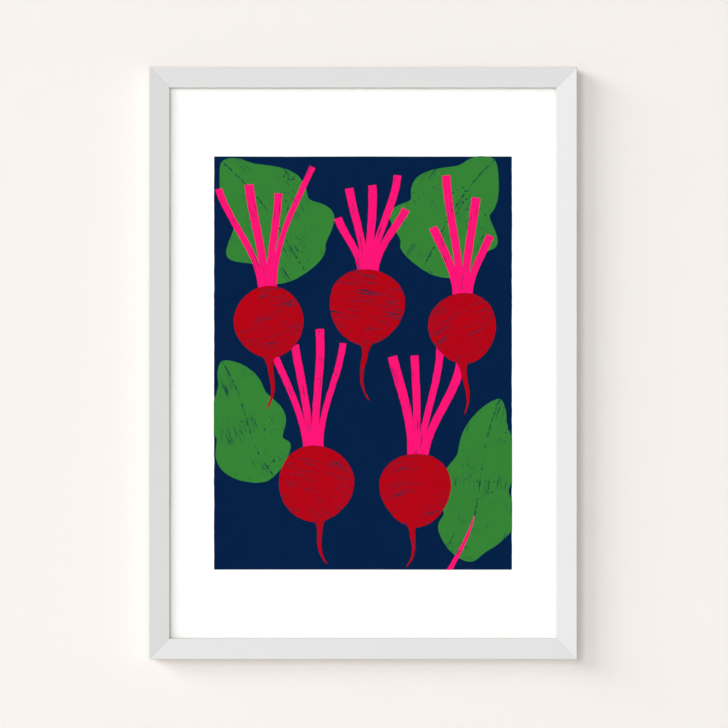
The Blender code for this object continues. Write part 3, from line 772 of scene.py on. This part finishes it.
def makeLeaves():
    bm = newInk()
    for leaf in artwork["leaves"]:
        def halfWidth(t, across, leaf=leaf):
            side = 1 if across > 0 else -1
            shape = math.sin(math.pi * t ** 0.72) ** 0.6 if 0 < t < 1 else 0
            scallop = math.sin(math.pi * leaf["lobes"] * t + side * 0.9 + leaf["seed"])
            lobes = 0.34 * math.sqrt(scallop ** 2 + 0.03) - 0.17
            lobes += 0.16 * noise.noise(Vector((t * 3, side * 3, leaf["seed"])))
            return max(0.4, leaf["width"] * shape * (1 + lobes))
        addStrip(bm, leaf["rib"], halfWidth, 150, leaf["seed"])
    layInk(bm, "green", 1)


def makeStems():
    bm = newInk()
    for number, beet in enumerate(artwork["beets"]):
        centre = Vector(beet["at"])
        for k in range(beet["stems"]):
            share = k / (beet["stems"] - 1) - 0.5
            seed = number * 7.0 + k * 1.7 + 20
            swerve = noise.noise(Vector((seed, 0.5, 0.5)))
            up = math.radians(beet["up"] + share * beet["spread"])
            base = math.radians(beet["up"] + share * 26)
            start = centre + Vector((math.cos(base), math.sin(base))) * (beet["radius"] - 6)
            uneven = noise.noise(Vector((seed, 3.5, 0.5)))
            reach = beet["length"] * (0.9 + 0.5 * uneven - 0.3 * abs(share) ** 1.5)
            way = Vector((math.cos(up), math.sin(up)))
            side = Vector((-way.y, way.x))
            upright = math.radians(beet["up"])
            centreWay = Vector((math.cos(upright), math.sin(upright)))
            curve = [start, start + centreWay * reach * 0.36, start + way * reach * 0.66 + side * swerve * 14,
                     start + way * reach + side * swerve * 4]
            width = 4.0 + 1.6 * noise.noise(Vector((seed, 9.5, 0.5)))
            addStrip(bm, curve, lambda t, q, width=width: width * (0.86 + 0.2 * t), 50, seed)
    for leaf in artwork["leaves"]:
        if leaf["pink"]:
            rib = [along(leaf["rib"], leaf["pink"] * i / 3) for i in range(4)]
            rib[0] = rib[0] - (rib[1] - rib[0]).normalized() * 24
            addStrip(bm, rib, lambda t, q: 2.6 * (1 - t) ** 0.8 + 0.25, 70, leaf["seed"] + 50)
    layInk(bm, "pink", 2)


def makeRoots():
    bm = newInk()
    for number, beet in enumerate(artwork["beets"]):
        seed = number * 3.7 + 60
        addDisc(bm, beet, seed)
        lean = Matrix.Rotation(math.radians(beet["up"] - 90), 2)
        foot = Vector(beet["at"]) - lean @ Vector((0, beet["radius"] * (1 + beet["drop"]) - 7))
        tail = [foot + lean @ Vector(p) for p in beet["tail"]]

        def halfWidth(t, across):
            return 8.5 * max(0, 1 - t * 4) ** 2 + 3.3 * (1 - t) ** 0.8 + 0.4
        addStrip(bm, tail, halfWidth, 90, seed + 1)
    layInk(bm, "red", 3)


makeGround()
makeLeaves()
makeStems()
makeRoots()
print("inks laid")


steelLook = {
    "shank": 1.2 * mm, "core": 0.85 * mm, "threadPitch": 1.15 * mm, "length": 10 * mm,
    "head": 3.0 * mm, "headHeight": 1.6 * mm, "recess": 1.0 * mm,
    "buttonRoot": 5.5 * mm, "buttonTip": 3.5 * mm, "buttonReach": 20 * mm, "buttonEdge": 0.22 * mm,
    "buttonSheet": 1 * mm, "hole": 1.45 * mm, "wedgeEdge": 0.06 * mm,
}


def screwShape():  # stands on y = 0 with its head towards +Y
    look = steelLook
    head, height, core = look["head"], look["headHeight"], look["core"]
    profile = [(0, height)]
    for i in range(1, 11):
        a = i / 10 * math.pi / 2
        profile.append((head * math.sin(a) ** 0.8, height * (0.42 + 0.58 * math.cos(a) ** 0.8)))
    profile += [(head, 0.14 * height), (head - 0.14 * height, 0), (look["shank"], 0),
                (look["shank"], -0.8 * mm), (core, -1.4 * mm), (core, -look["length"] + 2.4 * mm),
                (0, -look["length"])]
    bm = turned(profile, 40)
    recess = bmesh.new()
    for turn in (0, 90):
        made = bmesh.ops.create_cube(recess, size=1)["verts"]
        for v in made:
            deep = v.co.y < 0
            v.co.x *= 0.6 * head * (1.0 if deep else 2.1)
            v.co.z *= 0.19 * head * (0.8 if deep else 1.25)
            v.co.y = height - look["recess"] if deep else height + 0.3 * mm
        cross = Matrix.Rotation(math.radians(turn), 3, "Y")
        bmesh.ops.rotate(recess, cent=(0, 0, 0), matrix=cross, verts=made)
    bm = carve(bm, recess)
    # the thread is a ridge that climbs as it goes round
    first = [bm.verts.new((core - 0.05 * mm, y, 0)) for y in (-0.3 * mm, 0.3 * mm)]
    first.insert(1, bm.verts.new((look["shank"], 0, 0)))
    face = bm.faces.new(first)
    bmesh.ops.translate(bm, vec=(0, -look["length"] + 2.9 * mm, 0), verts=first)
    turns, steps = 5, 14
    bmesh.ops.spin(bm, geom=[face], cent=(0, 0, 0), axis=(0, 1, 0), dvec=(0, look["threadPitch"] / steps, 0),
                   angle=math.tau * turns, steps=turns * steps)
    return bm


def buttonShape():  # a flat tab from its hole at the origin towards +Z
    look = steelLook
    bm = bmesh.new()
    for z, radius in ((0, look["buttonRoot"]), (look["buttonReach"] - look["buttonTip"], look["buttonTip"])):
        place = Matrix.Translation((0, 0, z)) @ Matrix.Rotation(math.radians(90), 4, "X")
        bmesh.ops.create_cone(bm, cap_ends=True, segments=64, radius1=radius, radius2=radius,
                              depth=look["buttonSheet"], matrix=place)
    hull = bmesh.ops.convex_hull(bm, input=bm.verts[:])
    spare = {g for g in hull["geom_interior"] + hull["geom_unused"] if isinstance(g, bmesh.types.BMVert)}
    bmesh.ops.delete(bm, geom=list(spare), context="VERTS")
    bmesh.ops.dissolve_limit(bm, angle_limit=math.radians(1), verts=bm.verts, edges=bm.edges)
    hole = bmesh.new()
    bmesh.ops.create_cone(hole, cap_ends=True, segments=40, radius1=look["hole"], radius2=look["hole"],
                          depth=3 * mm, matrix=Matrix.Rotation(math.radians(90), 4, "X"))
    bm = carve(bm, hole)
    roundEdges(bm, look["buttonEdge"], segments=3)
    return bm


def copyShape(master, matrix):
    bm = bmesh.new()
    bm.from_mesh(master)
    bmesh.ops.transform(bm, matrix=matrix, verts=bm.verts)
    return bm


def asMesh(bm, name):
    mesh = bpy.data.meshes.new(name)
    bm.to_mesh(mesh)
    bm.free()
    return mesh


screwMaster, buttonMaster = asMesh(screwShape(), "screwMaster"), asMesh(buttonShape(), "buttonMaster")
for number, name in enumerate(sorted(frame["nodes"])):
    low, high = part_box(name)
    centre = (low + high) / 2
    if name.startswith(("turn_screw_", "hanger_screw_")):
        foot = Vector((centre.x, high.y - steelLook["headHeight"], centre.z))
        place = Matrix.Translation(foot) @ Matrix.Rotation(0.7 * number, 4, "Y")
        keepPiece(copyShape(screwMaster, place), name + "_made", zinc, [name])
    elif name.startswith("turn_button_"):
        pivot = boxMiddle(name.replace("button", "screw"))
        turn = math.radians(sideTurns[name.split("_")[2]])
        place = Matrix.Translation((pivot.x, centre.y, pivot.z)) @ Matrix.Rotation(turn, 4, "Y")
        keepPiece(copyShape(buttonMaster, place), name + "_made", zinc, [name])
    elif name.startswith("corner_wedge_"):
        wedge = copyNode(name)
        roundEdges(wedge, steelLook["wedgeEdge"], segments=2)
        keepPiece(wedge, name + "_made", zinc, [name])
print("steel pieces made")


hangerLook = {
    "wire": 1.0 * mm, "halfWidth": 6.4 * mm, "corner": 1.6 * mm, "side": 5.0 * mm,
    "sheet": 0.7 * mm, "width": 9.0 * mm, "tail": 25.0 * mm, "loop": 1.65 * mm, "bend": 0.8 * mm,
}


def ringShape():  # the bar lies on X through the origin, the round end is up
    look = hangerLook
    straight = look["halfWidth"] - look["corner"]
    bm = bmesh.new()
    place = Matrix.Translation((-straight, 0, 0)) @ Matrix.Rotation(math.radians(90), 4, "Y")
    bmesh.ops.create_circle(bm, cap_ends=True, segments=24, radius=look["wire"], matrix=place)
    face = pull(bm, bm.faces[:][0], (2 * straight, 0, 0))
    face = swing(bm, face, (straight, 0, look["corner"]), (0, -1, 0), 90, 8)
    face = pull(bm, face, (0, 0, look["side"] - look["corner"]))
    face = swing(bm, face, (0, 0, look["side"]), (0, -1, 0), 180, 40)
    face = pull(bm, face, (0, 0, look["corner"] - look["side"]))
    face = swing(bm, face, (-straight, 0, look["corner"]), (0, -1, 0), 90, 8)
    caps = [f for f in bm.faces if len(f.verts) > 4]
    bmesh.ops.delete(bm, geom=caps, context="FACES_ONLY")
    bmesh.ops.remove_doubles(bm, verts=bm.verts, dist=0.01 * mm)
    return bm


def strapShape():  # the loop is round the X axis through the origin, the tail hangs down
    look = hangerLook
    sheet, half = look["sheet"] - 0.02 * mm, look["width"] / 2
    railSide = -2.0 * mm
    bm = bmesh.new()
    outline = ((-half, 0), (half, 0), (half, sheet), (-half, sheet))
    corners = [bm.verts.new((x, railSide + y, -look["tail"])) for x, y in outline]
    bm.faces.new(corners)
    bmesh.ops.bevel(bm, geom=corners, offset=0.14 * mm, offset_type="OFFSET", affect="VERTICES", segments=3,
                    profile=0.5, material=-1)
    face = pull(bm, bm.faces[:][0], (0, 0, look["tail"]))
    face = swing(bm, face, (0, 0, 0), (-1, 0, 0), 273.04, 36)
    bendY = railSide + 1.05 * mm + 0.02 * mm + look["bend"]
    bendZ = -math.sqrt((look["loop"] + look["bend"]) ** 2 - bendY ** 2)
    face = swing(bm, face, (0, bendY, bendZ), (1, 0, 0), 93.04, 12)
    pull(bm, face, (0, 0, -look["tail"] - bendZ))
    bmesh.ops.recalc_face_normals(bm, faces=bm.faces)
    return bm


for side in ("left", "right"):
    screw = boxMiddle("hanger_screw_" + side)
    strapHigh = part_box("hanger_strap_" + side)[1]
    bar = Vector((screw.x, strapHigh.y - 2.0 * mm, strapHigh.z - 2.0 * mm))
    place = Matrix.Translation(bar)
    ring = copyShape(asMesh(ringShape(), "ring"), place)
    keepPiece(ring, "hangerRing_" + side, zinc, ["hanger_ring_" + side])
    strap = copyShape(asMesh(strapShape(), "strap"), place)
    drill = bmesh.new()
    drillPlace = Matrix.Translation((screw.x, bar.y, screw.z)) @ Matrix.Rotation(math.radians(90), 4, "X")
    bmesh.ops.create_cone(drill, cap_ends=True, segments=32, radius1=steelLook["hole"],
                          radius2=steelLook["hole"], depth=8 * mm, matrix=drillPlace)
    keepPiece(carve(strap, drill), "hangerStrap_" + side, zinc, ["hanger_strap_" + side])
    low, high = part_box("wall_bumper_" + side)
    rim = [i * math.pi / 16 for i in range(9)]
    dome = [((4.3 + 1.2 * math.cos(a)) * mm, (3.0 + 1.2 * math.sin(a)) * mm) for a in rim]
    base = [(0, 0), (5.35 * mm, 0), (5.5 * mm, 0.15 * mm)]
    bumper = turned(base + dome + [(2.2 * mm, 4.16 * mm), (0, 4.12 * mm)], 48)
    bmesh.ops.translate(bumper, vec=((low.x + high.x) / 2, low.y, (low.z + high.z) / 2), verts=bumper.verts)
    keepPiece(bumper, "wallBumper_" + side, rubber, ["wall_bumper_" + side])
print("hangers and bumpers made")


room = {
    "wall": (0.781, 0.752, 0.731),
    "floor": (0.74, 0.715, 0.695),
    "background": (0.93, 0.90, 0.88),
    "worldLight": 0.133, "worldBehind": 0.6,
    "lightFar": 30.0,
    "lights": {  # the way to each light, its size and its power
        "front": ((0, -1, 0), (7.5, 7.5), 2850),
        "frontLeft": ((-0.30, -1, 0.20), (7.5, 9.0), 2600),
        "key": ((-1.1, -1, 0.55), (12.9, 12.6), 2950),
        "rake": ((-2.6, -1, 1.3), (11.2, 11.2), 2860),
    },
    "backPower": 60.0,
    "cameraFar": 4.0, "fieldWidth": 0.7714, "aim": (0.0011, -0.0010),
}


def makeStagePlane(name, size, place, colour, oneSided):
    material, tree, shader = newMaterial(name + "Surface", colour, 0.9, Specular_IOR_Level=0.0)
    if oneSided:  # so the wall hides nothing when it is looked at from behind
        clear = node(tree, "ShaderNodeBsdfTransparent", (100, -200))
        facing = node(tree, "ShaderNodeNewGeometry", (-100, 300))
        mix = node(tree, "ShaderNodeMixShader", (300, 0))
        tree.links.new(facing.outputs["Backfacing"], mix.inputs[0])
        tree.links.new(shader.outputs[0], mix.inputs[1])
        tree.links.new(clear.outputs[0], mix.inputs[2])
        tree.links.new(mix.outputs[0], tree.nodes["Material Output"].inputs["Surface"])
    bm = bmesh.new()
    bmesh.ops.create_grid(bm, x_segments=1, y_segments=1, size=size / 2)
    bmesh.ops.transform(bm, matrix=place, verts=bm.verts)
    mesh = asMesh(bm, name)
    mesh.materials.append(material)
    plane = bpy.data.objects.new(name, mesh)
    bpy.context.scene.collection.objects.link(plane)
    return plane


upright = Matrix.Translation((0, 0.0003, 3.2)) @ Matrix.Rotation(math.radians(90), 4, "X")
wall = makeStagePlane("wall", 9, upright, room["wall"], True)
for kind in ("diffuse", "glossy", "transmission", "shadow"):
    setattr(wall, "visible_" + kind, False)
floor = makeStagePlane("floor", 14, Matrix.Translation((0, 0, -1.25)), room["floor"], True)


def addArea(name, at, size, power, towards):
    light = bpy.data.lights.new(name, "AREA")
    light.shape = "RECTANGLE"
    light.size, light.size_y = size
    light.energy = power
    lamp = bpy.data.objects.new(name, light)
    bpy.context.scene.collection.objects.link(lamp)
    lamp.location = at
    lamp.rotation_euler = (Vector(towards) - Vector(at)).to_track_quat("-Z", "Y").to_euler()
    return lamp


def addLights():
    for name, (way, size, power) in room["lights"].items():
        lamp = addArea(name, middle + Vector(way).normalized() * room["lightFar"], size, power, middle)
        lamp.visible_glossy = lamp.visible_transmission = name != "front"  # no glare in the pane
    addArea("behind", middle + Vector((-1.6, 2.6, 1.4)), (2.0, 2.0), room["backPower"], middle)


def addWorld():  # seen pale all round, dim in front of the pane and bright behind the wall
    world = bpy.data.worlds.new("paleRoom")
    bpy.context.scene.world = world
    world.use_nodes = True
    tree = world.node_tree
    tree.nodes.clear()
    seen = fill(node(tree, "ShaderNodeBackground", (0, 120)), Color=(*room["background"], 1))
    light = fill(node(tree, "ShaderNodeBackground", (0, -80)), Color=(1, 0.99, 0.98, 1))
    way = node(tree, "ShaderNodeSeparateXYZ", (-600, -80))
    tree.links.new(node(tree, "ShaderNodeTexCoord", (-800, -80)).outputs["Generated"], way.inputs[0])
    strength = remap(tree, (-300, -80), way.outputs[1], 0.0, 0.35, room["worldLight"], room["worldBehind"])
    tree.links.new(strength, light.inputs["Strength"])
    path = node(tree, "ShaderNodeLightPath", (-200, 300))
    mix = node(tree, "ShaderNodeMixShader", (200, 0))
    out = node(tree, "ShaderNodeOutputWorld", (400, 0))
    tree.links.new(path.outputs["Is Camera Ray"], mix.inputs[0])
    tree.links.new(light.outputs[0], mix.inputs[1])
    tree.links.new(seen.outputs[0], mix.inputs[2])
    tree.links.new(mix.outputs[0], out.inputs[0])


def addCamera():
    camera = bpy.data.objects.new("camera", bpy.data.cameras.new("camera"))
    bpy.context.scene.collection.objects.link(camera)
    camera.location = (middle.x + room["aim"][0], frontY - room["cameraFar"], middle.z + room["aim"][1])
    camera.rotation_euler = (math.radians(90), 0, 0)
    camera.data.sensor_width = 36
    camera.data.lens = 36 * room["cameraFar"] / room["fieldWidth"]
    camera.data.clip_end = 60
    bpy.context.scene.camera = camera


addLights()
addWorld()
addCamera()
bpy.context.scene.view_settings.view_transform = "Standard"
print("room lit")
